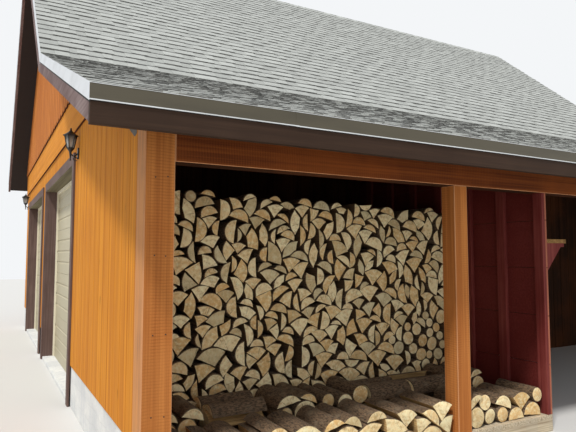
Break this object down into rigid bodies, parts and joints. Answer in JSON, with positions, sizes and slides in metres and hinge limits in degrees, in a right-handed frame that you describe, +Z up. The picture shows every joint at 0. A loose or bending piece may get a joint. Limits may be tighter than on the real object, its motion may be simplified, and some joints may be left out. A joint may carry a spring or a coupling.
{
  "type": "timber garage with an open log store",
  "caption": "Gabled timber garage under a broken-pitch shingle roof, its long side aisle an open log store on posts with stacked firewood.",
  "frame": {"origin": "on the ground, under the middle of the roof's outline", "axes": "+X along the eaves, away from the gable with the garage doors; +Y from the log store's open front to the back wall; +Z up"},
  "size_m": [10.958, 10.668, 6.5989],
  "materials": {
    "concrete": "rough cast concrete",
    "floor_planks": "weathered bare planks",
    "stained_timber": "rough-sawn, orange-brown stain",
    "rafter_timber": "sawn, unfinished",
    "siding": "grooved rough siding, orange-brown stain",
    "band_board": "orange-brown stain",
    "gable_boards": "orange-brown stain",
    "door_panel": "satin beige",
    "dark_trim": "dark brown paint",
    "shingles": "grey-green mineral granules",
    "drip_metal": "pale grey paint",
    "lamp_metal": "black satin",
    "lamp_glass": "clear, seeded",
    "red_paint": "barn-red paint",
    "firewood": "split and sawn ends",
    "bark": "rough bark"
  },
  "bodies": {
    "root": {"foundation_left": "concrete", "foundation_right": "concrete", "foundation_back": "concrete", "garage_floor": "concrete", "store_floor": "floor_planks", "floor_bearers": "floor_planks", "left_corner_post": "stained_timber", "right_corner_post": "stained_timber", "front_post_1": "stained_timber", "front_post_2": "stained_timber", "front_post_3": "stained_timber", "front_beam": "stained_timber", "aisle_rafters": "rafter_timber", "left_end_wall": "siding", "garage_pier_1": "siding", "garage_pier_2": "siding", "garage_pier_3": "siding", "door_header": "siding", "left_gable": "siding", "garage_side_wall": "siding", "back_wall": "siding", "right_end_wall": "siding", "right_gable": "siding", "left_band": "band_board", "right_band": "band_board", "left_gable_boards": "gable_boards", "right_gable_boards": "gable_boards", "near_garage_door": "door_panel", "far_garage_door": "door_panel", "door_casings": "dark_trim", "eave_fascia": "dark_trim", "back_fascia": "dark_trim", "left_rake_boards": "dark_trim", "right_rake_boards": "dark_trim", "lower_roof": "shingles", "upper_roof_near": "shingles", "upper_roof_far": "shingles", "ridge_cap": "shingles", "drip_edges": "drip_metal", "wall_lamps": "lamp_metal", "partition_boards": "red_paint", "partition_studs": "red_paint", "shelf": "red_paint", "log_stack": "firewood", "loose_logs": "firewood"}
  },
  "joints": []
}
